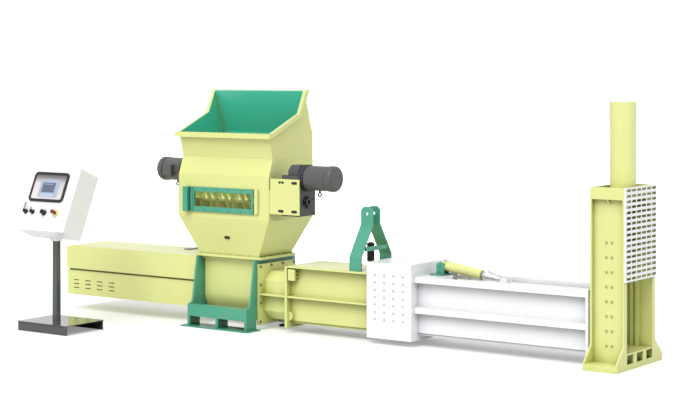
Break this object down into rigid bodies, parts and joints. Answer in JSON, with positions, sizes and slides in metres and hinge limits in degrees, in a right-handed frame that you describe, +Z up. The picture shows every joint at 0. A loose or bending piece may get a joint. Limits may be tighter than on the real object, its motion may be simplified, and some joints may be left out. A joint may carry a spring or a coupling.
{
  "type": "foam compactor",
  "caption": "Foam compactor line: twin-rotor crusher with hopper, ram press chamber, compaction and brake channel, guillotine tower and console.",
  "frame": {"origin": "centre of the four anchor holes of the crusher stand, on the floor", "axes": "+X along the line towards the cutting tower, -Y the operator's side, +Z up"},
  "size_m": [6.29, 2.072, 2.255],
  "materials": {
    "yellow_paint": "semi-gloss powder coat",
    "green_paint": "semi-gloss powder coat",
    "white_paint": "semi-gloss powder coat",
    "grey_paint": "satin",
    "dark_metal": "satin",
    "steel": "ground",
    "clear_pane": "clear polycarbonate",
    "rubber": "matt",
    "screen": "gloss",
    "red_plastic": "gloss",
    "ring_plastic": "gloss"
  },
  "bodies": {
    "line": {"stand_plates": "green_paint", "foot_beams": "green_paint", "foot_plates": "green_paint", "stand_top_frame": "yellow_paint", "press_trough": "yellow_paint", "funnel": "yellow_paint", "crusher_box": "yellow_paint", "hopper": "yellow_paint", "hopper_rim": "yellow_paint", "window_hinge": "green_paint", "end_bearings": "grey_paint", "torque_plates": "yellow_paint", "gearbox_right": "grey_paint", "gearbox_left": "grey_paint", "motor_right": "grey_paint", "motor_left": "grey_paint", "fan_cowl_right": "grey_paint", "fan_cowl_left": "grey_paint", "housing_tray": "yellow_paint", "housing_cover": "yellow_paint", "main_cylinder": "grey_paint", "flange_plate": "yellow_paint", "neck_tube": "yellow_paint", "channel_plate": "yellow_paint", "neck_foot": "rubber", "channel": "yellow_paint", "sensor_box": "yellow_paint", "press_frame": "green_paint", "jaw_housing": "white_paint", "jaw_bolts": "dark_metal", "brake_channel": "white_paint", "end_flange": "white_paint", "clamp_bracket": "green_paint", "portal_plate_in": "yellow_paint", "portal_plate_out": "yellow_paint", "tower_sides": "yellow_paint", "tower_beam": "yellow_paint", "guide_rails": "yellow_paint", "mesh_guard": "white_paint", "cutting_cylinder": "yellow_paint", "console_foot": "grey_paint", "console_pole": "grey_paint", "console_box": "white_paint", "screen_bezel": "dark_metal", "screen_glass": "screen", "stop_ring": "ring_plastic"},
    "rotor_front": {"rotor_front": "yellow_paint"},
    "rotor_rear": {"rotor_rear": "yellow_paint"},
    "ram": {"main_ram": "steel"},
    "door": {"window_door": "green_paint", "window_pane": "clear_pane"},
    "flap": {"brake_flap": "white_paint"},
    "clamp_barrel": {"clamp_barrel": "yellow_paint"},
    "clamp_rod": {"clamp_rod": "steel"},
    "press": {"press_stem": "dark_metal"},
    "knife": {"knife_carriage": "steel"},
    "selector_a": {"selector_1": "dark_metal"},
    "selector_b": {"selector_2": "dark_metal"},
    "selector_c": {"selector_3": "dark_metal"},
    "stop": {"stop_button": "red_plastic"}
  },
  "joints": [
    {"name": "rotor_front_spin", "type": "hinge", "parent": "line", "child": "rotor_front", "pos_m": [0, -0.205, 1.228], "axis": [1, 0, 0], "continuous": true},
    {"name": "rotor_rear_spin", "type": "hinge", "parent": "line", "child": "rotor_rear", "pos_m": [0, 0.205, 1.228], "axis": [1, 0, 0], "continuous": true},
    {"name": "ram_slide", "type": "slide", "parent": "line", "child": "ram", "axis": [1, 0, 0], "range_m": [0, 0.56]},
    {"name": "window_hinge", "type": "hinge", "parent": "line", "child": "door", "pos_m": [-0.384, -0.356, 1.2], "axis": [0, 0, -1], "range_deg": [0, 95]},
    {"name": "flap_hinge", "type": "hinge", "parent": "line", "child": "flap", "pos_m": [2.66, 0, 0.575], "axis": [0, 1, 0], "range_deg": [0, 5]},
    {"name": "clamp_pivot", "type": "hinge", "parent": "line", "child": "clamp_barrel", "pos_m": [2.236, 0, 0.718], "axis": [0, 1, 0], "range_deg": [0, 2]},
    {"name": "clamp_stroke", "type": "slide", "parent": "clamp_barrel", "child": "clamp_rod", "axis": [0.9881, 0, -0.154], "range_m": [0, 0.008]},
    {"name": "press_slide", "type": "slide", "parent": "line", "child": "press", "axis": [0, 0, -1], "range_m": [0, 0.06]},
    {"name": "knife_slide", "type": "slide", "parent": "line", "child": "knife", "axis": [0, 0, -1], "range_m": [0, 0.57]},
    {"name": "selector_a_turn", "type": "hinge", "parent": "line", "child": "selector_a", "pos_m": [-1.457, -1.49267, 1.11469], "axis": [0, -0.9205, 0.3907], "range_deg": [-45, 45]},
    {"name": "selector_b_turn", "type": "hinge", "parent": "line", "child": "selector_b", "pos_m": [-1.369, -1.49267, 1.11469], "axis": [0, -0.9205, 0.3907], "range_deg": [-45, 45]},
    {"name": "selector_c_turn", "type": "hinge", "parent": "line", "child": "selector_c", "pos_m": [-1.219, -1.49267, 1.11469], "axis": [0, -0.9205, 0.3907], "range_deg": [-45, 45]},
    {"name": "stop_press", "type": "slide", "parent": "line", "child": "stop", "axis": [0, 0.9205, -0.3907], "range_m": [0, 0.006]}
  ],
  "couplings": [
    {"joint": "clamp_pivot", "follows": "flap_hinge", "ratio": 0.32762},
    {"joint": "clamp_stroke", "follows": "flap_hinge", "m_per_rad": 0.076}
  ]
}
